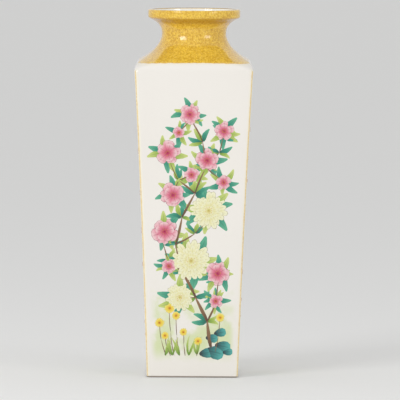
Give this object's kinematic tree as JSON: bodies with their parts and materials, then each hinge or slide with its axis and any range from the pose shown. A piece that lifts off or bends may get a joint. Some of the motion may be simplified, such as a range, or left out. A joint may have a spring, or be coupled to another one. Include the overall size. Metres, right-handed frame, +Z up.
{
  "type": "vase",
  "caption": "Tall square porcelain vase that tapers to its foot, with a soft shoulder that turns to a round waisted neck and a thick flared lip.",
  "frame": {"origin": "on the table, under the centre of the vase", "axes": "+Z up along the vase's axis, -Y out of the front face"},
  "size_m": [0.1292, 0.1292, 0.4],
  "materials": {
    "white_glaze": "gloss",
    "yellow_glaze": "gloss"
  },
  "bodies": {
    "root": {"floor_slab": "white_glaze", "front_wall": "white_glaze", "right_wall": "white_glaze", "back_wall": "white_glaze", "left_wall": "white_glaze", "front_right_cove": "white_glaze", "back_right_cove": "white_glaze", "back_left_cove": "white_glaze", "front_left_cove": "white_glaze", "front_floor_cove": "white_glaze", "right_floor_cove": "white_glaze", "back_floor_cove": "white_glaze", "left_floor_cove": "white_glaze", "shoulder": "yellow_glaze", "neck": "yellow_glaze", "lip": "yellow_glaze"}
  },
  "joints": []
}
